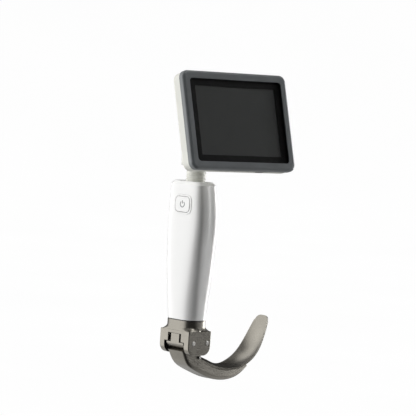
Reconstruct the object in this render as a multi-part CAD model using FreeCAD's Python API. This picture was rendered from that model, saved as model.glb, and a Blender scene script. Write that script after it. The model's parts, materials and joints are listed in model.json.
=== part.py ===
import FreeCAD, Part
import math

# Video laryngoscope, millimetres.
# Z is the handle's long axis, up towards the screen. The operator looks along +Y,
# so the button is on the -Y face and the blade reaches towards +Y. +X is the
# operator's right. The origin is the middle of the grip, on the swivel axis.

V = FreeCAD.Vector
X_AXIS = V(1, 0, 0)
Y_AXIS = V(0, 1, 0)
Z_AXIS = V(0, 0, 1)
EPS = 0.05                      # running clearance of pins, shafts and keys
GAP = 0.3                       # free gap between bodies that move past each other

# ---------------------------------------------------------------- driving sizes
HANDLE_HALF = 60.0              # half the length of the white handle
WALL = 2.2                      # handle wall
CAP_H = 4.0                     # height of the handle's top cap

BLOCK_W = 35.5                  # connector block along X
BLOCK_D = 27.4                  # connector block along Y
BLOCK_TOP = -69.6               # shoulder under the flared collar
BLOCK_BOTTOM = -90.6            # lower edge of the clevis ears
EAR = 5.6                       # ear thickness
PIN_Z = -79.8                   # height of both cross pins
PIN_FRONT_Y = -7.2
PIN_REAR_Y = 9.6
PIN_R = 2.1

SCREEN_W = 115.0
SCREEN_H = 85.0
SCREEN_T = 16.0                 # front of the bezel to the back of the cover
BEZEL_T = 5.6
CORNER_R = 6.5
SCREEN_FORWARD = 65.8           # swivel axis to the front face's lower edge
SCREEN_Z = 74.8                 # height of the front face's lower edge
SCREEN_TILT = 15.8              # degrees the screen leans back at rest
SCREEN_YAW = 84.0               # degrees the screen is turned to +X at rest

NECK_R = 8.6
NECK_TOP = 73.5
SHAFT_R = 5.0
SHAFT_BORE = 3.0


# ---------------------------------------------------------------- helpers
def box(x0, x1, y0, y1, z0, z1):
    return Part.makeBox(x1 - x0, y1 - y0, z1 - z0, V(x0, y0, z0))


def rod(start, direction, radius, length):
    return Part.makeCylinder(radius, length, start, direction)


def tube(start, direction, outer, inner, length):
    return rod(start, direction, outer, length).cut(rod(start, direction, inner, length))


def rounded_plate(width, height, depth, radius, y0, z0):
    """A plate in the XZ plane with rounded corners, from y0 back to y0 + depth."""
    plate = box(-width / 2, width / 2, y0, y0 + depth, z0, z0 + height)
    return plate.makeFillet(radius, edges_along(plate, Y_AXIS))


def edges_along(shape, direction):
    found = []
    for edge in shape.Edges:
        if isinstance(edge.Curve, Part.Line):
            run = edge.Vertexes[1].Point - edge.Vertexes[0].Point
            if run.cross(direction).Length < 1e-6:
                found.append(edge)
    return found


def edges_at(shape, axis, value):
    """Edges that lie whole in the plane axis = value."""
    found = []
    for edge in shape.Edges:
        low = getattr(edge.BoundBox, axis + "Min")
        high = getattr(edge.BoundBox, axis + "Max")
        if abs(low - value) < 1e-4 and abs(high - value) < 1e-4:
            found.append(edge)
    return found


def superellipse(half_x, half_y, power, centre_y, z, count=40):
    """A closed smooth wire, between an ellipse and a rectangle, level at height z."""
    points = []
    for i in range(count):
        t = 2 * math.pi * i / count
        c = math.cos(t)
        s = math.sin(t)
        x = half_x * math.copysign(abs(c) ** (2 / power), c)
        y = half_y * math.copysign(abs(s) ** (2 / power), s)
        points.append(V(x, centre_y + y, z))
    curve = Part.BSplineCurve()
    curve.interpolate(points, PeriodicFlag=True)
    return Part.Wire([curve.toShape()])


def loft(wires, ruled=False):
    return Part.makeLoft(wires, True, ruled)


def profile_prism(points, x0, x1):
    """A closed polygon of (y, z) points, drawn out along X."""
    corners = [V(x0, y, z) for y, z in points]
    face = Part.Face(Part.makePolygon(corners + [corners[0]]))
    return face.extrude(V(x1 - x0, 0, 0))


def save(name, shape):
    if isinstance(shape, list):
        shape = shape[0] if len(shape) == 1 else Part.makeCompound(shape)
    if len(shape.Solids) == 1:
        shape = shape.Solids[0]
    for solid in shape.Solids:
        if not solid.isValid() or solid.Volume <= 0:
            print("BAD SOLID", name, solid.Volume)
    print(name, len(shape.Solids), round(shape.Volume, 1))
    shape.exportStep("parts/" + name + ".step")


# ---------------------------------------------------------------- handle
# Sections of the handle: height, centre in Y, half width, half depth, squareness.
HANDLE_SECTIONS = [
    (-60.0, 0.0, 16.6, 12.9, 2.9),
    (-40.0, -0.5, 18.0, 13.7, 3.1),
    (-14.0, -0.6, 19.8, 14.1, 3.7),
    (6.0, -0.4, 20.5, 14.1, 4.2),
    (24.0, -0.4, 21.0, 13.7, 4.7),
    (40.0, -1.0, 20.3, 13.1, 5.0),
    (56.0, -2.3, 19.1, 11.9, 5.2),
]
CAP_SECTION = HANDLE_SECTIONS[-1]
FOOT_SECTION = HANDLE_SECTIONS[0]

BUTTON_Z = 40.0
BUTTON_W = 17.5
BUTTON_H = 13.5
BUTTON_TRAVEL = 0.8
BUTTON_FACE_Y = -14.7           # outer face of the button at rest
BUTTON_BACK_Y = -12.0
FLANGE_Y = BUTTON_BACK_Y + BUTTON_TRAVEL + GAP
FLANGE_T = 1.2

BATTERY_R = 7.1
BATTERY_L = 50.0
BATTERY_Y = 2.0
BATTERY_Z0 = -47.0
BOARD_Y = -7.2                  # front of the handle's circuit board
BOARD_T = 1.2
BOARD_Z0 = 9.0
BOARD_Z1 = 44.0


def handle_solid(inset, z_low, z_high):
    """The handle's outer form, made smaller by inset, between two heights."""
    wires = []
    for z, centre, half_x, half_y, power in HANDLE_SECTIONS:
        wires.append(superellipse(half_x - inset, half_y - inset, power, centre, z))
    body = loft(wires)
    return body.common(box(-40, 40, -40, 40, z_low, z_high))


def button_block(width, height, radius, y0, y1):
    """A rounded rectangular bar on the button's centre line."""
    bar = box(-width / 2, width / 2, y0, y1, BUTTON_Z - height / 2, BUTTON_Z + height / 2)
    return bar.makeFillet(radius, edges_along(bar, Y_AXIS))


def handle_shell():
    foot, _, _, _, _ = FOOT_SECTION
    top = CAP_SECTION[0]
    shell = handle_solid(0, foot, top).cut(handle_solid(WALL, foot, top))
    return shell.cut(button_block(BUTTON_W + 3.4, BUTTON_H + 3.4, 5.0, -30, -8))


def handle_top_cap():
    z, centre, half_x, half_y, power = CAP_SECTION
    rim = z + 1.4
    chamfer = 2.4
    skirt = loft([superellipse(half_x, half_y, power, centre, z),
                  superellipse(half_x, half_y, power, centre, rim)], True)
    slope = loft([superellipse(half_x, half_y, power, centre, rim),
                  superellipse(half_x - chamfer, half_y - chamfer, power, centre, z + CAP_H)], True)
    inset = WALL + 0.5
    spigot = loft([superellipse(half_x - inset, half_y - inset, power, centre, z - 4),
                   superellipse(half_x - inset, half_y - inset, power, centre, z)], True)
    core = loft([superellipse(half_x - WALL - 2, half_y - WALL - 2, power, centre, z - 4),
                 superellipse(half_x - WALL - 2, half_y - WALL - 2, power, centre, z - 1)], True)
    boss = rod(V(0, 0, z - 9), Z_AXIS, SHAFT_R + 3.4, 9)
    boss = boss.common(handle_solid(WALL + 0.1, z - 20, z))
    cap = skirt.fuse(slope).fuse(spigot).cut(core).fuse(boss)
    bore = rod(V(0, 0, z - 20), Z_AXIS, SHAFT_R + 1.4, 40)
    seat = rod(V(0, 0, z + CAP_H - 1.0), Z_AXIS, NECK_R + GAP, 5)
    return cap.cut(bore).cut(seat).removeSplitter()


def handle_parts():
    z_cap = CAP_SECTION[0]
    z_top = z_cap + CAP_H
    save("handle_shell", handle_shell())
    save("handle_top_cap", handle_top_cap())

    # The swivel shaft runs in two bushes, pressed into the cap's boss from each end.
    bush_r = SHAFT_R + 1.4
    bore_r = SHAFT_R + EPS
    upper = tube(V(0, 0, z_top - 6.0), Z_AXIS, bush_r, bore_r, 5.0)
    lower = tube(V(0, 0, z_cap - 9), Z_AXIS, bush_r, bore_r, 5.5)
    save("swivel_bush_upper", upper)
    save("swivel_bush_lower", lower)

    # Button surround, the button that slides in it, and the switch behind.
    surround = button_block(BUTTON_W + 3.2, BUTTON_H + 3.2, 4.9, BUTTON_FACE_Y + GAP, FLANGE_Y)
    surround = surround.cut(button_block(BUTTON_W + 2 * GAP, BUTTON_H + 2 * GAP, 4.1, -20, -8))
    flange = button_block(BUTTON_W + 6.4, BUTTON_H + 6.4, 5.0, FLANGE_Y, FLANGE_Y + FLANGE_T)
    flange = flange.cut(button_block(BUTTON_W - 2.0, BUTTON_H - 2.0, 3.0, -20, -8))
    save("button_surround", surround.fuse(flange).removeSplitter())

    key = button_block(BUTTON_W, BUTTON_H, 3.8, BUTTON_FACE_Y, BUTTON_BACK_Y)
    key = key.makeFillet(0.8, edges_at(key, "Y", BUTTON_FACE_Y))
    stem = rod(V(0, BUTTON_BACK_Y, BUTTON_Z), Y_AXIS, 1.6, BOARD_Y - 1.8 - 0.9 - BUTTON_BACK_Y)
    save("power_button", key.fuse(stem))

    save("handle_board", box(-9, 9, BOARD_Y, BOARD_Y + BOARD_T, BOARD_Z0, BOARD_Z1))
    switch = box(-3, 3, BOARD_Y - 1.5, BOARD_Y, BUTTON_Z - 3, BUTTON_Z + 3)
    save("button_switch", switch.fuse(rod(V(0, BOARD_Y - 1.5, BUTTON_Z), V(0, -1, 0), 1.4, 0.3)))

    # Chassis: a back plate that carries the board above and the cell below.
    plate = box(-8.2, 8.2, BOARD_Y + BOARD_T + EPS, BOARD_Y + 2.8, BOARD_Z0 - 2, BOARD_Z1 - 1)
    tray = box(-8.2, 8.2, BATTERY_Y - 8.6, BATTERY_Y + 6.5, BATTERY_Z0 - 4, BATTERY_Z0 + BATTERY_L + 5)
    tray = tray.cut(box(-7.3, 7.3, BATTERY_Y - 7.3, 30, BATTERY_Z0 - 2.4, BATTERY_Z0 + BATTERY_L + 3.4))
    save("handle_chassis", plate.fuse(tray).removeSplitter())

    can = rod(V(0, BATTERY_Y, BATTERY_Z0), Z_AXIS, BATTERY_R, BATTERY_L)
    can = can.makeFillet(0.8, can.Edges[:1])
    nub = rod(V(0, BATTERY_Y, BATTERY_Z0 + BATTERY_L), Z_AXIS, 2.6, 1.2)
    save("battery_cell", can.fuse(nub))
    contact = box(-4, 4, BATTERY_Y - 4, BATTERY_Y + 4, BATTERY_Z0 + BATTERY_L + 1.2,
                  BATTERY_Z0 + BATTERY_L + 3.4)
    save("battery_contact", contact)
    spring = Part.makeCone(5.6, 3.0, 2.3, V(0, BATTERY_Y, BATTERY_Z0 - 2.35), Z_AXIS)
    spring = spring.cut(Part.makeCone(4.4, 1.8, 2.3, V(0, BATTERY_Y, BATTERY_Z0 - 2.35), Z_AXIS))
    save("battery_spring", spring)


# ---------------------------------------------------------------- connector
SEAL_H = 0.8
COLLAR_TOP = -HANDLE_HALF - SEAL_H
SLOT_WIDE = BLOCK_W / 2 - EAR   # half width of the clevis slot
SLOT_NARROW = 8.0               # half width of the slot above the pins
SLOT_ROOF = -71.8


def connector_block():
    half_w = BLOCK_W / 2
    half_d = BLOCK_D / 2
    _, centre, foot_x, foot_y, power = FOOT_SECTION
    collar = loft([superellipse(foot_x, foot_y, power, centre, COLLAR_TOP),
                   superellipse(foot_x, foot_y, power, centre, -65.6)], True)
    flare = loft([superellipse(foot_x, foot_y, power, centre, -65.6),
                  superellipse(foot_x + 0.15, foot_y + 0.15, 3.4, centre, -67.2),
                  superellipse(foot_x + 0.6, foot_y + 0.5, 5.0, centre, -68.6),
                  superellipse(half_w - 0.3, half_d - 0.3, 11.0, centre, BLOCK_TOP)])
    block = box(-half_w, half_w, -half_d, half_d, BLOCK_BOTTOM, BLOCK_TOP)
    # The ears' lower corners are rounded, more at the front than at the back.
    low_edges = [e for e in edges_at(block, "Z", BLOCK_BOTTOM) if e.BoundBox.XLength > 1]
    block = block.makeFillet(8.0, low_edges)
    block = block.makeFillet(0.7, [e for e in block.Edges if abs(abs(e.BoundBox.XMin) - half_w) < 1e-4
                                   and e.BoundBox.XLength < 1e-4 and e.BoundBox.ZMin < BLOCK_TOP - 0.1])
    spigot = loft([superellipse(foot_x - WALL - 0.1, foot_y - WALL - 0.1, power, centre, COLLAR_TOP),
                   superellipse(foot_x - WALL - 0.1, foot_y - WALL - 0.1, power, centre, -54.6)], True)
    body = block.fuse(flare).fuse(collar).fuse(spigot)
    wide = box(-SLOT_WIDE, SLOT_WIDE, -30, 30, -120, PIN_Z + 0.4)
    wide = wide.fuse(rod(V(-SLOT_WIDE, PIN_FRONT_Y, PIN_Z), X_AXIS, KNUCKLE_R + GAP, 2 * SLOT_WIDE))
    narrow = box(-SLOT_NARROW, SLOT_NARROW, PIN_FRONT_Y, 30, -120, SLOT_ROOF)
    narrow = narrow.fuse(box(-SLOT_NARROW, SLOT_NARROW, -30, PIN_FRONT_Y, -120, SLOT_ROOF - 0.4))
    narrow = narrow.fuse(rod(V(-SLOT_NARROW, PIN_FRONT_Y, PIN_Z), X_AXIS, TONGUE_SWEEP, 2 * SLOT_NARROW))
    body = body.cut(wide).cut(narrow)
    for y in (PIN_FRONT_Y, PIN_REAR_Y):
        body = body.cut(rod(V(-30, y, PIN_Z), X_AXIS, PIN_R, 60))
    pocket = box(-5.6, 5.6, -4.1, 7.1, -120, -50)
    body = body.cut(pocket)
    for x in (-11.0, 11.0):
        body = body.cut(rod(V(x, 0, -68.0), Z_AXIS, 1.6, 20))
    return body.removeSplitter()


def connector_parts():
    _, centre, foot_x, foot_y, power = FOOT_SECTION
    save("connector_block", connector_block())
    seal = loft([superellipse(foot_x - 0.35, foot_y - 0.35, power, centre, COLLAR_TOP),
                 superellipse(foot_x - 0.35, foot_y - 0.35, power, centre, -HANDLE_HALF)], True)
    seal = seal.cut(loft([superellipse(foot_x - WALL, foot_y - WALL, power, centre, COLLAR_TOP),
                          superellipse(foot_x - WALL, foot_y - WALL, power, centre, -HANDLE_HALF)], True))
    save("handle_seal", seal)

    # Cross pins: the blade pivots on the front one and stops against the rear one.
    for name, y in (("front_pin", PIN_FRONT_Y), ("rear_pin", PIN_REAR_Y)):
        length = BLOCK_W + 0.5
        pin = rod(V(-length / 2, y, PIN_Z), X_AXIS, PIN_R, length)
        save(name, pin.makeChamfer(0.3, [e for e in pin.Edges if isinstance(e.Curve, Part.Circle)]))

    # Insulator with four sprung contacts that meet the pads on the blade's heel.
    insulator = box(-5.5, 5.5, -4.0, 7.0, SLOT_ROOF, -54.5)
    insulator = insulator.fuse(box(-7.6, 7.6, -6.0, 9.4, -54.5, -53.0))
    pins = []
    for y in CONTACT_YS:
        insulator = insulator.cut(rod(V(0, y, -80), Z_AXIS, 0.75, 23))
        pins.append(rod(V(0, y, CONTACT_Z), Z_AXIS, 0.68, 11.5))
    save("contact_insulator", insulator.removeSplitter())
    save("contact_pins", pins)
    screws = []
    for x in (-11.0, 11.0):
        screws.append(rod(V(x, 0, -67.8), Z_AXIS, 1.55, 15.0).fuse(rod(V(x, 0, -54.6), Z_AXIS, 2.6, 1.8)))
    save("connector_screws", screws)


# ---------------------------------------------------------------- blade
HEEL_TOP = -75.6                # top of the heel block in the clevis
CONTACT_Z = HEEL_TOP + 0.05     # lower ends of the sprung contacts
CONTACT_YS = (-1.2, 1.0, 3.2, 5.4)
HEEL_W = 15.6
KNUCKLE_R = 5.6
KNUCKLE_W = 20.2
TONGUE_W = 9.8
TONGUE_SWEEP = 9.5              # clears the tongue as the blade swings open

# Middle line of the blade's concave side, as (y, z), from the heel to the tip.
SPINE = [
    (-3.2, -83.2),
    (3.0, -90.6),
    (16.0, -97.0),
    (30.0, -102.2),
    (44.0, -105.2),
    (56.0, -105.3),
    (67.6, -101.7),
    (77.2, -95.4),
    (84.4, -86.8),
    (89.8, -76.6),
    (94.0, -67.4),
    (97.2, -59.6),
]


def spine_edge():
    curve = Part.BSplineCurve()
    curve.interpolate([V(0, y, z) for y, z in SPINE])
    return curve.toShape()


def station(distance):
    """Point, forward and outward (convex side) directions, measured along the spine."""
    edge = spine_edge()
    t = edge.getParameterByLength(min(distance, edge.Length))
    forward = edge.tangentAt(t)
    outward = X_AXIS.cross(forward) * -1
    return edge.valueAt(t), forward, outward


def spoon_section(distance, half_width, thickness, dish_left, dish_right):
    """A thin section across the blade whose edges rise towards the concave side."""
    point, _, out = station(distance)
    left = point - V(half_width, 0, 0) - out * dish_left
    right = point + V(half_width, 0, 0) - out * dish_right
    skin = out * thickness
    return Part.Wire([
        Part.Arc(left, point, right).toShape(),
        Part.LineSegment(right, right + skin).toShape(),
        Part.Arc(right + skin, point + skin, left + skin).toShape(),
        Part.LineSegment(left + skin, left).toShape(),
    ])


def smooth_rows(table, low, high):
    """Rows at even spacing between low and high, eased between the rows of a table."""
    count = max(2, round((high - low) / STATION_STEP))
    rows = []
    for i in range(count + 1):
        at = low + (high - low) * i / count
        k = 0
        while k < len(table) - 2 and table[k + 1][0] < at:
            k += 1
        before = table[max(k - 1, 0)]
        start = table[k]
        end = table[k + 1]
        after = table[min(k + 2, len(table) - 1)]
        span = end[0] - start[0]
        t = min(max((at - start[0]) / span, 0), 1)
        row = [at]
        for n in range(1, len(start)):
            slope_a = (end[n] - before[n]) / (end[0] - before[0]) * span
            slope_b = (after[n] - start[n]) / (after[0] - start[0]) * span
            row.append((2 * t**3 - 3 * t**2 + 1) * start[n] + (t**3 - 2 * t**2 + t) * slope_a
                       + (3 * t**2 - 2 * t**3) * end[n] + (t**3 - t**2) * slope_b)
        rows.append(row)
    return rows


def shell_section(distance, half_width, depth, radius, start):
    """A rounded box section that hangs from the convex side of the spatula."""
    point, _, out = station(distance)
    top = point + out * start
    low = point + out * depth
    side = V(half_width, 0, 0)
    step = V(radius, 0, 0)
    k = 1 - math.sqrt(0.5)
    drop = out * radius
    a = top - side
    b = top + side
    c = low + side - drop
    d = low + side - step
    e = low - side + step
    f = low - side - drop
    return Part.Wire([
        Part.LineSegment(a, b).toShape(),
        Part.LineSegment(b, c).toShape(),
        Part.Arc(c, low + side - (step + drop) * k, d).toShape(),
        Part.LineSegment(d, e).toShape(),
        Part.Arc(e, low - side + step * k - drop * k, f).toShape(),
        Part.LineSegment(f, a).toShape(),
    ])


SPINE_LENGTH = spine_edge().Length
STATION_STEP = 8.0              # spacing of the sections that the blade is drawn through
CAMERA_STATION = 81.5           # where the camera housing ends in a step
TIP_R = 5.2
# Spatula stations: distance, half width, thickness, rise of the left and right edges.
SPATULA_STATIONS = [
    (9.5, 9.5, 2.0, 1.0, 0.3),
    (24.0, 9.6, 2.0, 5.2, 0.4),
    (44.0, 10.0, 1.9, 5.6, 0.8),
    (60.0, 10.9, 1.8, 2.8, 1.4),
    (78.0, 11.7, 1.7, 2.4, 1.9),
    (96.0, 11.5, 1.6, 1.9, 1.6),
    (113.0, 10.0, 1.5, 1.1, 1.0),
    (SPINE_LENGTH, 7.2, 1.5, 0.4, 0.4),
]
# Body stations: distance, half width, depth from the spine, corner radius.
BODY_STATIONS = [
    (0.0, 9.8, 9.6, 1.8),
    (9.0, 9.8, 10.9, 2.8),
    (24.0, 9.6, 11.2, 3.4),
    (41.0, 9.0, 11.0, 3.6),
    (58.0, 8.3, 9.6, 3.4),
    (73.0, 7.5, 7.2, 2.4),
    (CAMERA_STATION, 7.0, 5.4, 1.6),
]


def tip_corner_cutter(side, half_width, radius):
    """The sharp corner to take off the spatula's tip, on the side +1 or -1 of X."""
    point, forward, out = station(SPINE_LENGTH)
    across = X_AXIS * side

    def at(x, f):
        return point + across * (half_width + x) + forward * f - out * 10

    bulge = radius * (1 - math.sqrt(0.5))
    wire = Part.Wire([
        Part.Arc(at(0, -radius), at(-bulge, -bulge), at(-radius, 0)).toShape(),
        Part.LineSegment(at(-radius, 0), at(-radius, 5)).toShape(),
        Part.LineSegment(at(-radius, 5), at(5, 5)).toShape(),
        Part.LineSegment(at(5, 5), at(5, -radius)).toShape(),
        Part.LineSegment(at(5, -radius), at(0, -radius)).toShape(),
    ])
    return Part.Face(wire).extrude(out * 20)


def blade_parts():
    rows = smooth_rows(SPATULA_STATIONS, SPATULA_STATIONS[0][0], SPINE_LENGTH)
    spatula = loft([spoon_section(*row) for row in rows])
    for side in (-1, 1):
        spatula = spatula.cut(tip_corner_cutter(side, SPATULA_STATIONS[-1][1], TIP_R))

    rows = smooth_rows(BODY_STATIONS, 0, CAMERA_STATION)
    body = loft([shell_section(*row, 0.9) for row in rows]).cut(spatula)
    body = max(body.Solids, key=lambda solid: solid.Volume)
    end, forward, out = station(CAMERA_STATION)
    lens = end + out * 3.75
    light = lens + V(3.9, 0, 0)
    body = body.cut(rod(lens - forward * 7.0, forward, 1.25, 20))
    body = body.cut(rod(light - forward * 3.0, forward, 0.95, 20))
    save("camera_module", rod(lens - forward * 6.9, forward, 1.2, 5.9))
    save("camera_window", rod(lens - forward * 0.95, forward, 1.22, 0.95))
    save("camera_light", rod(light - forward * 2.9, forward, 0.92, 2.8))

    stud_at = V(0, 9.0, -93.6)
    stud = rod(stud_at + V(HEEL_W / 2 - 3.0, 0, 0), X_AXIS, 1.3, 6.2)

    knuckle = rod(V(-KNUCKLE_W / 2, PIN_FRONT_Y, PIN_Z), X_AXIS, KNUCKLE_R, KNUCKLE_W)
    knuckle = knuckle.common(box(-30, 30, -30, 30, -120, PIN_Z - 0.4))
    hub = rod(V(-TONGUE_W / 2, PIN_FRONT_Y, PIN_Z), X_AXIS, KNUCKLE_R, TONGUE_W)
    tongue = box(-TONGUE_W / 2, TONGUE_W / 2, PIN_FRONT_Y - KNUCKLE_R, PIN_FRONT_Y - 0.6, PIN_Z, -72.6)
    heel = profile_prism([(PIN_FRONT_Y - 2.0, PIN_Z - 0.6), (PIN_FRONT_Y + 3, HEEL_TOP),
                          (6.6, HEEL_TOP), (6.6, PIN_Z - 2.4), (12.6, PIN_Z - 2.4),
                          (12.6, -94.3), (PIN_FRONT_Y - 1.0, -84.6)], -HEEL_W / 2, HEEL_W / 2)
    pads_pocket = box(-2.5, 2.5, -3.8, 6.4, HEEL_TOP - 1.2, HEEL_TOP + 1)
    root = knuckle.fuse(hub).fuse(tongue).fuse(heel)
    root = root.cut(rod(V(-30, PIN_FRONT_Y, PIN_Z), X_AXIS, PIN_R + EPS, 60))
    root = root.cut(spatula).cut(body).cut(pads_pocket)
    root = max(root.Solids, key=lambda solid: solid.Volume)
    save("blade_root", root.cut(stud).removeSplitter())
    save("blade_body", body.cut(stud))
    save("blade_spatula", spatula.cut(stud))
    save("blade_stud", stud)

    carrier = box(-2.4, 2.4, -3.7, 6.3, HEEL_TOP - 1.15, HEEL_TOP - 0.3)
    pads = [box(-1.1, 1.1, y - 0.95, y + 0.95, HEEL_TOP - 0.3, HEEL_TOP) for y in CONTACT_YS]
    save("contact_carrier", carrier)
    save("contact_pads", pads)


# ---------------------------------------------------------------- screen
# The screen is drawn upright and square on: X across, Y from the front face back,
# Z up from the lower edge. screen_place then leans, lifts and turns it to its rest.
COVER_W = SCREEN_W - 1.0
COVER_H = SCREEN_H - 1.0
COVER_WALL = 1.8
MASK_EDGE = 6.8                 # width of the bezel round the black border
WINDOW_W = 88.0
WINDOW_H = 59.5
HINGE_BACK = SCREEN_T + 9.0     # tilt axis behind the front face
HINGE_UP = 23.0                 # tilt axis above the lower edge
HINGE_R = 7.6
HINGE_PIN_R = 3.0
BRACKET_SCREW_X = 15.0          # screws beside the knuckles, above and below the axis
HINGE_ARM_HALF = 11.0           # half width of the arm's knuckle
HINGE_OUT_HALF = 18.4           # half width over the bracket's knuckles
KEY_R = 1.3
KEY_HEIGHTS = (20.0, 32.0, 44.0, 56.0)
KEY_BACK = 10.8                 # keys' place behind the front face


def screen_place(shape):
    lean = FreeCAD.Placement(V(0, -SCREEN_FORWARD, SCREEN_Z), FreeCAD.Rotation(X_AXIS, -SCREEN_TILT))
    turn = FreeCAD.Placement(V(0, 0, 0), FreeCAD.Rotation(Z_AXIS, SCREEN_YAW))
    shape = shape.copy()
    shape.Placement = turn.multiply(lean).multiply(shape.Placement)
    return shape


def arm_place(shape):
    shape = shape.copy()
    turn = FreeCAD.Placement(V(0, 0, 0), FreeCAD.Rotation(Z_AXIS, SCREEN_YAW))
    shape.Placement = turn.multiply(shape.Placement)
    return shape


def centred_plate(width, height, y0, y1, radius):
    """A rounded plate centred on the screen's face."""
    z0 = (SCREEN_H - height) / 2
    return rounded_plate(width, height, y1 - y0, radius, y0, z0)


def screen_parts():
    lip_w = SCREEN_W - 2 * MASK_EDGE
    lip_h = SCREEN_H - 2 * MASK_EDGE
    bezel = centred_plate(SCREEN_W, SCREEN_H, 0, BEZEL_T, CORNER_R)
    bezel = bezel.makeFillet(2.4, edges_at(bezel, "Y", 0))
    bezel = bezel.cut(centred_plate(lip_w, lip_h, -1, 10, 3.2))
    bezel = bezel.cut(centred_plate(lip_w + 3, lip_h + 3, 1.0, 10, 4.0))
    save("screen_bezel", screen_place(bezel))

    glass = centred_plate(lip_w + 2.8, lip_h + 2.8, 1.0, 2.2, 3.9)
    save("cover_glass", screen_place(glass))
    mask = centred_plate(lip_w + 2.4, lip_h + 2.4, 2.25, 2.6, 3.8)
    mask = mask.cut(centred_plate(WINDOW_W, WINDOW_H, 1, 4, 0.6))
    save("display_mask", screen_place(mask))
    save("lcd_panel", screen_place(centred_plate(WINDOW_W + 5, WINDOW_H + 5, 2.65, 4.2, 0.6)))
    tray = centred_plate(WINDOW_W + 9, WINDOW_H + 9, 2.65, 5.4, 1.5)
    tray = tray.cut(centred_plate(WINDOW_W + 5.4, WINDOW_H + 5.4, 2, 4.25, 0.8))
    save("backlight_tray", screen_place(tray))

    cover = centred_plate(COVER_W, COVER_H, BEZEL_T, SCREEN_T, CORNER_R)
    cover = cover.makeFillet(3.6, edges_at(cover, "Y", SCREEN_T))
    inside = centred_plate(COVER_W - 2 * COVER_WALL, COVER_H - 2 * COVER_WALL,
                           BEZEL_T - 1, SCREEN_T - COVER_WALL, CORNER_R - 1.8)
    inside = inside.makeFillet(2.4, edges_at(inside, "Y", SCREEN_T - COVER_WALL))
    cover = cover.cut(inside)
    side = COVER_W / 2
    for z in KEY_HEIGHTS:
        cover = cover.cut(rod(V(side - 6, KEY_BACK, z), X_AXIS, KEY_R + EPS, 10))
    port_at = V(24, KEY_BACK, 0)
    cover = cover.cut(box(port_at.x - 4.7, port_at.x + 4.7, port_at.y - 1.8, port_at.y + 1.8, -1, 6))

    screws = []
    for x in (-46, 0, 46):
        for z in (9.0, SCREEN_H - 9.0):
            if x == 0 and z < SCREEN_H / 2:
                continue
            hole = rod(V(x, SCREEN_T + 1, z), V(0, -1, 0), 2.2, 2.0)
            post = rod(V(x, SCREEN_T - 1.0, z), V(0, -1, 0), 3.0, 8.6)
            cover = cover.fuse(post).cut(hole).cut(rod(V(x, SCREEN_T, z), V(0, -1, 0), 1.2, 12))
            head = rod(V(x, SCREEN_T - 0.25, z), V(0, -1, 0), 2.1, 0.75)
            screws.append(head.fuse(rod(V(x, SCREEN_T - 1.0, z), V(0, -1, 0), 1.2, 7.5)))
    mount_screws = []
    for x in (-BRACKET_SCREW_X, BRACKET_SCREW_X):
        for z in (HINGE_UP - 10.5, HINGE_UP + 10.5):
            cover = cover.cut(rod(V(x, SCREEN_T + 1, z), V(0, -1, 0), 1.3, 6))
            head = rod(V(x, SCREEN_T + 2.75, z), V(0, -1, 0), 2.1, 1.25)
            mount_screws.append(head.fuse(rod(V(x, SCREEN_T + 1.6, z), V(0, -1, 0), 1.3, 4.6)))
    save("screen_back_cover", screen_place(cover.removeSplitter()))
    save("back_cover_screws", [screen_place(s) for s in screws])

    save("screen_board", screen_place(box(-40, 30, 6.4, 7.6, 14, 70)))
    save("screen_battery", screen_place(box(-34, 20, 8.0, 12.6, 24, 62)))
    shell = box(port_at.x - 4.6, port_at.x + 4.6, port_at.y - 1.7, port_at.y + 1.7, 0.6, 8.0)
    shell = shell.makeFillet(1.5, edges_along(shell, Z_AXIS))
    bore = box(port_at.x - 4.2, port_at.x + 4.2, port_at.y - 1.3, port_at.y + 1.3, -2, 7.0)
    bore = bore.makeFillet(1.2, edges_along(bore, Z_AXIS))
    tongue = box(port_at.x - 3.2, port_at.x + 3.2, port_at.y - 0.35, port_at.y + 0.35, 1.6, 7.2)
    save("charging_port", screen_place(shell.cut(bore).fuse(tongue)))

    for i, z in enumerate(KEY_HEIGHTS):
        key = rod(V(side - 3.0, KEY_BACK, z), X_AXIS, KEY_R, 3.4)
        key = key.makeFillet(0.3, [e for e in key.Edges if e.BoundBox.XMin > side])
        flange = rod(V(side - 2.9, KEY_BACK, z), X_AXIS, 2.0, 0.9)
        save("side_key_" + str(i + 1), screen_place(key.fuse(flange)))
    key_board = box(side - 5.2, side - 4.0, KEY_BACK - 2.2, KEY_BACK + 2.2, 14, 62)
    for z in KEY_HEIGHTS:
        dome = box(side - 4.1, side - 3.6, KEY_BACK - 1.2, KEY_BACK + 1.2, z - 1.2, z + 1.2)
        key_board = key_board.fuse(dome)
    save("side_key_board", screen_place(key_board))

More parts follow.
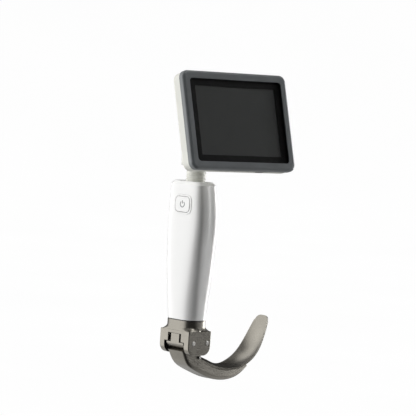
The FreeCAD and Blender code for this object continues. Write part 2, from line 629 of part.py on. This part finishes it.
    # Tilt hinge: a bracket with two knuckles, screwed to the back cover.
    base = rounded_plate(2 * HINGE_OUT_HALF + 4, 27, 3.0, 3.0, SCREEN_T, HINGE_UP - 13.5)
    bracket = base
    for x in (-HINGE_OUT_HALF, HINGE_ARM_HALF + 0.6):
        length = HINGE_OUT_HALF - HINGE_ARM_HALF - 0.6
        knuckle = rod(V(x, HINGE_BACK, HINGE_UP), X_AXIS, HINGE_R, length)
        web = box(x, x + length, SCREEN_T + 1, HINGE_BACK, HINGE_UP - HINGE_R, HINGE_UP + HINGE_R)
        bracket = bracket.fuse(knuckle).fuse(web)
    swing = HINGE_ARM_HALF + 0.6
    bracket = bracket.cut(rod(V(-swing, HINGE_BACK, HINGE_UP), X_AXIS, HINGE_R + GAP, 2 * swing))
    bracket = bracket.cut(rod(V(-30, HINGE_BACK, HINGE_UP), X_AXIS, HINGE_PIN_R, 60))
    for x in (-HINGE_OUT_HALF, HINGE_OUT_HALF - 1.6):
        bracket = bracket.cut(rod(V(x, HINGE_BACK, HINGE_UP), X_AXIS, 5.4, 1.6))
    for x in (-BRACKET_SCREW_X, BRACKET_SCREW_X):
        for z in (HINGE_UP - 10.5, HINGE_UP + 10.5):
            bracket = bracket.cut(rod(V(x, SCREEN_T + 9, z), V(0, -1, 0), 1.3, 12))
            bracket = bracket.cut(rod(V(x, SCREEN_T + 9, z), V(0, -1, 0), 2.2, 7.5))
    save("hinge_bracket", screen_place(bracket.removeSplitter()))
    save("bracket_screws", [screen_place(s) for s in mount_screws])
    pin_half = HINGE_OUT_HALF - 1.7
    pin = rod(V(-pin_half, HINGE_BACK, HINGE_UP), X_AXIS, HINGE_PIN_R, 2 * pin_half)
    save("tilt_pin", screen_place(pin))
    caps = []
    for x in (-HINGE_OUT_HALF - 0.3, HINGE_OUT_HALF - 1.6):
        cap = rod(V(x, HINGE_BACK, HINGE_UP), X_AXIS, 5.35, 1.9)
        caps.append(screen_place(cap))
    save("tilt_pin_caps", caps)
    washers = []
    for x in (-HINGE_ARM_HALF - 0.58, HINGE_ARM_HALF + 0.08):
        washers.append(screen_place(tube(V(x, HINGE_BACK, HINGE_UP), X_AXIS, 6.6, HINGE_PIN_R, 0.5)))
    save("tilt_washers", washers)


# ---------------------------------------------------------------- arm and neck
TILT = math.radians(SCREEN_TILT)
HINGE_Y = -SCREEN_FORWARD + HINGE_BACK * math.cos(TILT) + HINGE_UP * math.sin(TILT)
HINGE_Z = SCREEN_Z - HINGE_BACK * math.sin(TILT) + HINGE_UP * math.cos(TILT)
ELBOW_Z = NECK_TOP + 8.0
ARM_SCREWS = ((4.2, ELBOW_Z + 1.5), (-18.0, 86.2))     # (y, z) of the screws that close the arm
ELBOW_R = 9.0


def arm_outline(inset):
    """The arm seen from the side: a hull round the elbow and the tilt knuckle."""
    big = ELBOW_R - inset
    small = HINGE_R - inset
    dy = HINGE_Y
    dz = HINGE_Z - ELBOW_Z
    span = math.hypot(dy, dz)
    along = math.atan2(dz, dy)
    spread = math.acos((big - small) / span)

    def on(cy, cz, radius, angle):
        return V(0, cy + radius * math.cos(angle), cz + radius * math.sin(angle))

    up = along - spread
    down = along + spread
    foot_z = NECK_TOP + inset
    back_foot = V(0, big, foot_z)
    front_foot = V(0, -big, foot_z)
    lower_elbow = on(0, ELBOW_Z, big, down)
    lower_knuckle = on(HINGE_Y, HINGE_Z, small, down)
    upper_knuckle = on(HINGE_Y, HINGE_Z, small, up)
    upper_elbow = on(0, ELBOW_Z, big, up)
    nose = on(HINGE_Y, HINGE_Z, small, along)
    back = on(0, ELBOW_Z, big, 0)
    shoulder = on(0, ELBOW_Z, big, up / 2)
    # The underside of the beam runs into the front of the column.
    slope = (lower_knuckle.z - lower_elbow.z) / (lower_knuckle.y - lower_elbow.y)
    corner = V(0, -big, lower_elbow.z + slope * (-big - lower_elbow.y))
    return Part.Wire([
        Part.LineSegment(back_foot, back).toShape(),
        Part.Arc(back, shoulder, upper_elbow).toShape(),
        Part.LineSegment(upper_elbow, upper_knuckle).toShape(),
        Part.Arc(upper_knuckle, nose, lower_knuckle).toShape(),
        Part.LineSegment(lower_knuckle, corner).toShape(),
        Part.LineSegment(corner, front_foot).toShape(),
        Part.LineSegment(front_foot, back_foot).toShape(),
    ])


def arm_solid(inset, half_width):
    face = Part.Face(arm_outline(inset))
    face.translate(V(-half_width, 0, 0))
    return face.extrude(V(2 * half_width, 0, 0))


def arm_parts():
    wall = 1.8
    outer = arm_solid(0, HINGE_ARM_HALF)
    rims = edges_at(outer, "X", HINGE_ARM_HALF) + edges_at(outer, "X", -HINGE_ARM_HALF)
    outer = outer.makeFillet(1.8, rims)
    # The knuckle keeps its full width, so that it fills the bracket.
    outer = outer.fuse(rod(V(-HINGE_ARM_HALF, HINGE_Y, HINGE_Z), X_AXIS, HINGE_R - 0.8, 2 * HINGE_ARM_HALF))
    shell = outer.cut(arm_solid(wall, HINGE_ARM_HALF - wall))
    shell = shell.cut(rod(V(-30, HINGE_Y, HINGE_Z), X_AXIS, HINGE_PIN_R + EPS, 60))
    shell = shell.cut(rod(V(0, 0, NECK_TOP - 1), Z_AXIS, SHAFT_R, 5))
    screws = []
    for y, z in ARM_SCREWS:
        post = rod(V(-HINGE_ARM_HALF + 1, y, z), X_AXIS, 2.6, 2 * HINGE_ARM_HALF - 2)
        post = post.cut(box(-4.6, 4.6, -60, 60, 0, 120))
        shell = shell.fuse(post.common(arm_solid(0.5, HINGE_ARM_HALF)))
        hole = rod(V(-HINGE_ARM_HALF - 1, y, z), X_AXIS, 2.0, 2.2)
        shell = shell.cut(hole).cut(rod(V(-HINGE_ARM_HALF, y, z), X_AXIS, 1.1, 2 * HINGE_ARM_HALF - 2.5))
        screw = rod(V(-HINGE_ARM_HALF + 0.2, y, z), X_AXIS, 1.9, 1.0)
        thread = rod(V(-HINGE_ARM_HALF + 1.2, y, z), X_AXIS, 1.1, 2 * HINGE_ARM_HALF - 4.0)
        screws.append(screw.fuse(thread))
    left = shell.common(box(-40, 0, -60, 60, 0, 120))
    right = shell.common(box(0, 40, -60, 60, 0, 120))
    save("arm_left_shell", arm_place(left))
    save("arm_right_shell", arm_place(right))
    save("arm_screws", [arm_place(s) for s in screws])

    core = arm_solid(2.2, 4.4)
    core = core.cut(box(-30, 30, -5.9, 5.9, 0, NECK_TOP + 6.5))
    core = core.cut(rod(V(-30, HINGE_Y, HINGE_Z), X_AXIS, HINGE_PIN_R + EPS, 60))
    for y, z in ARM_SCREWS:
        core = core.cut(rod(V(-30, y, z), X_AXIS, 1.15, 60))
    core = core.cut(rod(V(0, 0, 0), Z_AXIS, SHAFT_BORE, 200))
    save("arm_core", arm_place(max(core.Solids, key=lambda solid: solid.Volume)))

    z_cap = CAP_SECTION[0] + CAP_H
    shaft_low = z_cap - CAP_H - 11.4
    ring_z = shaft_low + 1.2
    shaft = tube(V(0, 0, shaft_low), Z_AXIS, SHAFT_R, SHAFT_BORE, NECK_TOP + 4.4 - shaft_low)
    flange = tube(V(0, 0, NECK_TOP + 4.4), Z_AXIS, SHAFT_R + 0.8, SHAFT_BORE, 2.0)
    groove = tube(V(0, 0, ring_z), Z_AXIS, SHAFT_R + 1, SHAFT_R - 0.5, 1.0)
    save("swivel_shaft", arm_place(shaft.fuse(flange).cut(groove)))
    ring = tube(V(0, 0, ring_z + 0.05), Z_AXIS, SHAFT_R + 1.3, SHAFT_R - 0.5, 0.9)
    ring = ring.cut(box(-1.6, 1.6, 0, 10, ring_z - 1, ring_z + 2))
    save("swivel_circlip", arm_place(ring))

    foot = z_cap - 0.6
    sleeve = rod(V(0, 0, foot), Z_AXIS, NECK_R, NECK_TOP - foot)
    ribs = 4
    pitch = (NECK_TOP - z_cap - 1.4) / ribs
    for i in range(ribs):
        z = z_cap + 1.2 + i * pitch
        ring = Part.makeTorus(NECK_R + 0.35, 0.85, V(0, 0, z + pitch / 2), Z_AXIS)
        sleeve = sleeve.cut(ring)
    sleeve = sleeve.cut(rod(V(0, 0, foot - 1), Z_AXIS, SHAFT_R, 40))
    save("neck_sleeve", arm_place(sleeve))


handle_parts()
connector_parts()
blade_parts()
screen_parts()
arm_parts()
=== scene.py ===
import json
import math

import bpy
from mathutils import Matrix, Vector


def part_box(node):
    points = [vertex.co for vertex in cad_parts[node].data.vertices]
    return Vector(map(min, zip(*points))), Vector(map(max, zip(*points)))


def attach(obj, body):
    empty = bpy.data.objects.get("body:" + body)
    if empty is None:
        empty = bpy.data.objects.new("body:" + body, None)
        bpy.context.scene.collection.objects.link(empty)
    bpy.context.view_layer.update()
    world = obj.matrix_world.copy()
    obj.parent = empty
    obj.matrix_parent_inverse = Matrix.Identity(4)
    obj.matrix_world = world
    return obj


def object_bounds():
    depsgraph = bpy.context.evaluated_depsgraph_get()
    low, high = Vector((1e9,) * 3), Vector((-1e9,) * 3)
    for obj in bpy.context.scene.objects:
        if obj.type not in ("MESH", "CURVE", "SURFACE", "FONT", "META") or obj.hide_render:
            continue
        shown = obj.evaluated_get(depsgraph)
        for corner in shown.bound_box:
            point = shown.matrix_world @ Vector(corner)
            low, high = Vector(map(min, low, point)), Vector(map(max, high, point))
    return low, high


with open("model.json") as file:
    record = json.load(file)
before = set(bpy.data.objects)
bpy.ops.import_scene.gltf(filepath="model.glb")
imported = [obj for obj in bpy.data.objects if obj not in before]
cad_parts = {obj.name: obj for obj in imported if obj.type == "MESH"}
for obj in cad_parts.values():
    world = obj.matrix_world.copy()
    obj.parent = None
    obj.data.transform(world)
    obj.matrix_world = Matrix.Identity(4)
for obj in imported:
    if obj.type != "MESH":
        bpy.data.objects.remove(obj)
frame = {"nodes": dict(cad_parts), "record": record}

CAD_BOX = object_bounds()
NODES = frame["nodes"]
MM = 0.001

# The camera stands round the handle's axis: angles in degrees, lengths in metres.
VIEW_AZIMUTH = 44.6
VIEW_ELEVATION = 4.5
VIEW_ROLL = 3.8
VIEW_DISTANCE = 2.12
VIEW_WIDTH = 0.362              # width of the picture at the handle
AIM_RIGHT = 0.0146              # the picture's middle, from the middle of the grip
AIM_UP = 0.0365
SENSOR_WIDTH = 36.0             # millimetres

# The paper floor and its curved sweep, in metres.
FLOOR_DROP = 0.10               # below the object's lowest point
FLOOR_RINGS = [0.001, 0.5, 1.2, 2.2, 3.0]       # radii of the flat part
FLOOR_SIDES = 64
SWEEP_RADIUS = 1.6
SWEEP_STEPS = 12
WALL_HEIGHT = 3.0

# A noise texture mostly lies between these two values.
NOISE_LOW = 0.3
NOISE_HIGH = 0.7


# ---------------------------------------------------------------- materials
class Nodes:
    """A node material in the making: a Principled shader with its texture inputs."""

    def __init__(self, name):
        self.material = bpy.data.materials.new(name)
        self.material.use_nodes = True
        self.tree = self.material.node_tree
        self.shader = self.tree.nodes["Principled BSDF"]
        self.coords = self.tree.nodes.new("ShaderNodeTexCoord").outputs["Object"]

    def new(self, kind, **settings):
        node = self.tree.nodes.new(kind)
        for key, value in settings.items():
            setattr(node, key, value)
        return node

    def link(self, source, target):
        self.tree.links.new(source, target)

    def noise(self, scale, detail=3.0, stretch=(1, 1, 1), turn=(0, 0, 0)):
        mapping = self.new("ShaderNodeMapping")
        mapping.inputs["Scale"].default_value = stretch
        mapping.inputs["Rotation"].default_value = turn
        self.link(self.coords, mapping.inputs["Vector"])
        noise = self.new("ShaderNodeTexNoise")
        noise.inputs["Scale"].default_value = scale
        noise.inputs["Detail"].default_value = detail
        self.link(mapping.outputs["Vector"], noise.inputs["Vector"])
        return noise.outputs["Fac"]

    def spread(self, value, low, high):
        """Maps the usual range of a noise to low and high."""
        node = self.new("ShaderNodeMapRange")
        node.inputs["From Min"].default_value = NOISE_LOW
        node.inputs["From Max"].default_value = NOISE_HIGH
        node.inputs["To Min"].default_value = low
        node.inputs["To Max"].default_value = high
        self.link(value, node.inputs["Value"])
        return node.outputs["Result"]

    def colours(self, value, dark, light):
        ramp = self.new("ShaderNodeValToRGB")
        ramp.color_ramp.elements[0].position = NOISE_LOW
        ramp.color_ramp.elements[1].position = NOISE_HIGH
        ramp.color_ramp.elements[0].color = (*dark, 1)
        ramp.color_ramp.elements[1].color = (*light, 1)
        self.link(value, ramp.inputs["Fac"])
        self.link(ramp.outputs["Color"], self.shader.inputs["Base Color"])

    def roughness(self, value, low, high):
        self.link(self.spread(value, low, high), self.shader.inputs["Roughness"])

    def bump(self, value, depth_mm, strength=1.0):
        node = self.new("ShaderNodeBump")
        node.inputs["Strength"].default_value = strength
        node.inputs["Distance"].default_value = depth_mm * MM
        self.link(value, node.inputs["Height"])
        self.link(node.outputs["Normal"], self.shader.inputs["Normal"])

    def set(self, **values):
        for key, value in values.items():
            self.shader.inputs[key.replace("_", " ")].default_value = value


def tint(colour, factor):
    return tuple(min(1.0, c * factor) for c in colour)


def plastic(name, colour, rough, grain_mm, grain_depth, coat=0.0, contrast=0.05, vary=0.05):
    """Moulded plastic: a faint mottle in colour and gloss over a fine moulded grain."""
    m = Nodes(name)
    cloud = m.noise(60.0, 4.0)
    m.colours(cloud, tint(colour, 1 - contrast), tint(colour, 1 + contrast))
    m.roughness(m.noise(240.0, 3.0), rough - vary, rough + vary)
    m.bump(m.noise(1.0 / (grain_mm * MM), 2.0), grain_depth)
    m.set(Coat_Weight=coat, Coat_Roughness=0.12)
    return m.material


def steel(name, colour, rough, streak=(1, 1, 18), grain_depth=0.004, contrast=0.10):
    """Satin blasted steel with faint finishing streaks and slight staining."""
    m = Nodes(name)
    stain = m.noise(38.0, 5.0)
    m.colours(stain, tint(colour, 1 - contrast), tint(colour, 1 + contrast))
    m.roughness(m.noise(260.0, 4.0, streak), rough - 0.05, rough + 0.07)
    m.bump(m.noise(2400.0, 2.0, streak), grain_depth)
    m.set(Metallic=1.0)
    return m.material


def coated_glass(name, colour, alpha):
    """Thin anti-glare glass: nearly clear, with a weak mirror sheen and faint smears."""
    m = Nodes(name)
    m.colours(m.noise(30.0, 2.0), tint(colour, 0.8), tint(colour, 1.2))
    m.roughness(m.noise(90.0, 4.0), 0.02, 0.06)
    m.set(Alpha=alpha, IOR=1.5)
    return m.material


def display_material():
    """A switched-off display: very dark grey with a barely seen pixel grain."""
    m = Nodes("display_off")
    m.colours(m.noise(5200.0, 1.0), (0.024, 0.026, 0.025), (0.030, 0.032, 0.031))
    m.roughness(m.noise(300.0, 2.0), 0.34, 0.42)
    return m.material


def mask_material():
    """The black border printed behind the glass."""
    m = Nodes("mask_black")
    m.colours(m.noise(400.0, 2.0), (0.0012, 0.0012, 0.0012), (0.0022, 0.0022, 0.0022))
    m.roughness(m.noise(300.0, 2.0), 0.30, 0.40)
    m.set(Specular_IOR_Level=0.2)
    return m.material


def board_material():
    """Green circuit board with a faint pattern of tracks."""
    m = Nodes("circuit_board")
    m.colours(m.noise(900.0, 1.0, (1, 0.2, 1)), (0.010, 0.075, 0.030), (0.030, 0.16, 0.07))
    m.roughness(m.noise(500.0), 0.35, 0.5)
    m.bump(m.noise(1500.0, 1.0), 0.02)
    return m.material


def build_materials():
    return {
        "white_shell": plastic("white_shell", (0.83, 0.83, 0.82), 0.30, 0.45, 0.001, coat=0.15,
                               contrast=0.006, vary=0.015),
        "cream_plastic": plastic("cream_plastic", (0.66, 0.66, 0.61), 0.46, 0.35, 0.012, contrast=0.03),
        "grey_bezel": plastic("grey_bezel", (0.122, 0.132, 0.138), 0.36, 0.30, 0.010, contrast=0.10),
        "glass": coated_glass("glass_clear", (0.010, 0.011, 0.012), 0.045),
        "camera_glass": coated_glass("glass_lens", (0.020, 0.016, 0.045), 0.55),
        "black_mask": mask_material(),
        "lcd": display_material(),
        "blade_steel": steel("blade_steel", (0.176, 0.166, 0.145), 0.30),
        "pin_steel": steel("pin_steel", (0.46, 0.45, 0.43), 0.28, (18, 1, 1), 0.003, 0.05),
        "sheet_metal": steel("sheet_metal", (0.62, 0.63, 0.64), 0.35),
        "circuit_board": board_material(),
        "black_plastic": plastic("black_plastic", (0.018, 0.018, 0.018), 0.5, 0.4, 0.01, contrast=0.15),
        "bush_plastic": plastic("bush_plastic", (0.62, 0.59, 0.48), 0.4, 0.5, 0.006),
        "battery_wrap": plastic("battery_wrap", (0.03, 0.07, 0.22), 0.3, 1.2, 0.02, contrast=0.1),
        "contact_brass": steel("contact_brass", (0.72, 0.50, 0.20), 0.25),
        "seal_rubber": plastic("seal_rubber", (0.02, 0.02, 0.02), 0.65, 0.4, 0.02, contrast=0.2),
        "glyph": plastic("glyph_grey", (0.13, 0.135, 0.14), 0.45, 0.5, 0.004, contrast=0.05),
    }


def dress_nodes(materials):
    """Gives every CAD node the node material of its slot in the record."""
    for part in frame["record"]["subparts"]:
        mesh = NODES[part["node"]].data
        mesh.materials.clear()
        mesh.materials.append(materials[part["material_slot"]])


# ---------------------------------------------------------------- pieces
def mesh_piece(name, vertices, faces, material, body):
    """Makes a piece that rides a body, from its vertices and faces."""
    mesh = bpy.data.meshes.new(name)
    mesh.from_pydata(vertices, [], faces)
    mesh.validate()
    piece = bpy.data.objects.new(name, mesh)
    bpy.context.scene.collection.objects.link(piece)
    mesh.materials.append(material)
    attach(piece, body)
    return piece


def stroke(points, half_width, y_front, y_back):
    """A flat raised stroke along (x, z) points, with its faces."""
    vertices = []
    for i, (x, z) in enumerate(points):
        ax, az = points[max(i - 1, 0)]
        bx, bz = points[min(i + 1, len(points) - 1)]
        run = math.hypot(bx - ax, bz - az)
        nx, nz = -(bz - az) / run * half_width, (bx - ax) / run * half_width
        vertices += [(x + nx, y_front, z + nz), (x - nx, y_front, z - nz),
                     (x + nx, y_back, z + nz), (x - nx, y_back, z - nz)]
    faces = []
    for i in range(len(points) - 1):
        a = 4 * i
        b = a + 4
        faces += [(a, a + 1, b + 1, b), (a + 2, b + 2, b + 3, a + 3),
                  (a, b, b + 2, a + 2), (a + 1, a + 3, b + 3, b + 1)]
    last = 4 * (len(points) - 1)
    faces += [(0, 2, 3, 1), (last, last + 1, last + 3, last + 2)]
    return vertices, faces


def button_glyph(materials):
    """A plain power symbol on the button: an open ring and a bar."""
    low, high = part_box("power_button")
    centre_z = (low.z + high.z) / 2
    radius = 2.5 * MM
    width = 0.36 * MM
    front = low.y - 0.06 * MM
    back = low.y + 0.2 * MM
    opening = math.radians(38)
    ring = []
    steps = 40
    for i in range(steps + 1):
        angle = math.pi / 2 + opening + (2 * math.pi - 2 * opening) * i / steps
        ring.append((radius * math.cos(angle), centre_z + radius * math.sin(angle)))
    bar = [(0, centre_z + 0.5 * MM), (0, centre_z + 1.9 * MM), (0, centre_z + 3.2 * MM)]
    vertices, faces = stroke(ring, width, front, back)
    more, more_faces = stroke(bar, width, front, back)
    faces += [tuple(i + len(vertices) for i in f) for f in more_faces]
    mesh_piece("button_glyph", vertices + more, faces, materials["glyph"],
               "power_button")


# ---------------------------------------------------------------- stage
def studio():
    """A pale floor that curves up into a backdrop on every side."""
    low, _ = CAD_BOX
    floor_z = low[2] - FLOOR_DROP
    flat = FLOOR_RINGS[-1]
    profile = [(r, 0.0) for r in FLOOR_RINGS]
    for i in range(1, SWEEP_STEPS + 1):
        angle = math.pi / 2 * i / SWEEP_STEPS
        profile.append((flat + SWEEP_RADIUS * math.sin(angle), SWEEP_RADIUS * (1 - math.cos(angle))))
    profile.append((flat + SWEEP_RADIUS, SWEEP_RADIUS + WALL_HEIGHT))
    vertices = []
    for r, z in profile:
        for k in range(FLOOR_SIDES):
            a = 2 * math.pi * k / FLOOR_SIDES
            vertices.append((r * math.cos(a), r * math.sin(a), floor_z + z))
    faces = [tuple(range(FLOOR_SIDES))]
    for i in range(len(profile) - 1):
        inner = i * FLOOR_SIDES
        outer = inner + FLOOR_SIDES
        for k in range(FLOOR_SIDES):
            n = (k + 1) % FLOOR_SIDES
            faces.append((inner + k, inner + n, outer + n, outer + k))
    mesh = bpy.data.meshes.new("floor")
    mesh.from_pydata(vertices, [], faces)
    for polygon in mesh.polygons:
        polygon.use_smooth = True
    floor = bpy.data.objects.new("floor", mesh)
    bpy.context.scene.collection.objects.link(floor)
    mesh.materials.append(floor_paper())
    # The paper glows by itself and neither lights, mirrors in nor shadows the object.
    floor.visible_diffuse = False
    floor.visible_glossy = False
    floor.visible_transmission = False
    floor.visible_shadow = False


def floor_paper():
    """Evenly lit white paper."""
    m = Nodes("floor_paper")
    m.colours(m.noise(3.0, 2.0), (0.02, 0.02, 0.02), (0.03, 0.03, 0.03))
    m.set(Roughness=1.0, Specular_IOR_Level=0.0, Emission_Strength=1.0,
          Emission_Color=(0.97, 0.97, 0.97, 1))
    return m.material


def direction(azimuth, elevation):
    """Unit vector in degrees: azimuth 0 is the button's side (-Y), 90 is +X."""
    a = math.radians(azimuth)
    e = math.radians(elevation)
    return Vector((math.sin(a) * math.cos(e), -math.cos(a) * math.cos(e), math.sin(e)))


# Soft lights all round: azimuth, elevation, inner and outer half angle, brightness.
AMBIENT = 0.08
SOFT_LIGHTS = [
    (-44, 4, 26, 50, 2.65),     # broad key from the front left
    (-84, 46, 8, 22, 2.2),      # small one higher up on the left
    (20, 84, 12, 40, 0.5),      # overhead
    (126, 58, 8, 24, 4.0),      # high on the right, towards the back
    (168, 2, 8, 22, 11.0),      # strong one behind, on the right
    (138, -24, 8, 30, 0.35),    # bounce from the paper on the right
    (172, -42, 12, 36, 0.9),    # bounce from the paper behind
    (-50, -50, 10, 36, 0.8),    # bounce from the paper on the left
    (-108, -42, 10, 36, 0.9),   # bounce from the paper further left
]


def studio_light():
    """The world's brightness: the sum of the soft lights over a weak even light."""
    world = bpy.data.worlds.new("studio")
    world.use_nodes = True
    tree = world.node_tree
    coords = tree.nodes.new("ShaderNodeTexCoord").outputs["Generated"]
    total = None
    for azimuth, elevation, inner, outer, brightness in SOFT_LIGHTS:
        facing = tree.nodes.new("ShaderNodeVectorMath")
        facing.operation = "DOT_PRODUCT"
        facing.inputs[1].default_value = direction(azimuth, elevation)
        tree.links.new(coords, facing.inputs[0])
        edge = tree.nodes.new("ShaderNodeMapRange")
        edge.interpolation_type = "SMOOTHSTEP"
        edge.inputs["From Min"].default_value = math.cos(math.radians(outer))
        edge.inputs["From Max"].default_value = math.cos(math.radians(inner))
        edge.inputs["To Max"].default_value = brightness
        tree.links.new(facing.outputs["Value"], edge.inputs["Value"])
        add = tree.nodes.new("ShaderNodeMath")
        add.inputs[1].default_value = AMBIENT
        tree.links.new(edge.outputs["Result"], add.inputs[0])
        if total:
            tree.links.new(total, add.inputs[1])
        total = add.outputs["Value"]
    background = tree.nodes["Background"]
    background.inputs["Color"].default_value = (1, 1, 1, 1)
    tree.links.new(total, background.inputs["Strength"])
    bpy.context.scene.world = world


def camera():
    """A long lens at the viewing angle, rolled a little, aimed beside the grip."""
    back = direction(VIEW_AZIMUTH, VIEW_ELEVATION)
    a = math.radians(VIEW_AZIMUTH)
    level = Vector((math.cos(a), math.sin(a), 0))
    up = back.cross(level)
    roll = math.radians(VIEW_ROLL)
    right = level * math.cos(roll) + up * math.sin(roll)
    up = back.cross(right)
    place = back * VIEW_DISTANCE
    aim = right * AIM_RIGHT + up * AIM_UP
    back = (place - aim).normalized()
    right = up.cross(back).normalized()
    up = back.cross(right)
    data = bpy.data.cameras.new("camera")
    data.sensor_width = SENSOR_WIDTH
    data.lens = data.sensor_width * VIEW_DISTANCE / VIEW_WIDTH
    data.clip_start = 0.01
    data.clip_end = 50
    view = bpy.data.objects.new("camera", data)
    turn = Matrix((right, up, back)).transposed().to_4x4()
    view.matrix_world = Matrix.Translation(place) @ turn
    bpy.context.scene.collection.objects.link(view)
    bpy.context.scene.camera = view


camera()
studio()
studio_light()
bpy.context.scene.view_settings.view_transform = "Standard"
MATERIALS = build_materials()
dress_nodes(MATERIALS)
button_glyph(MATERIALS)
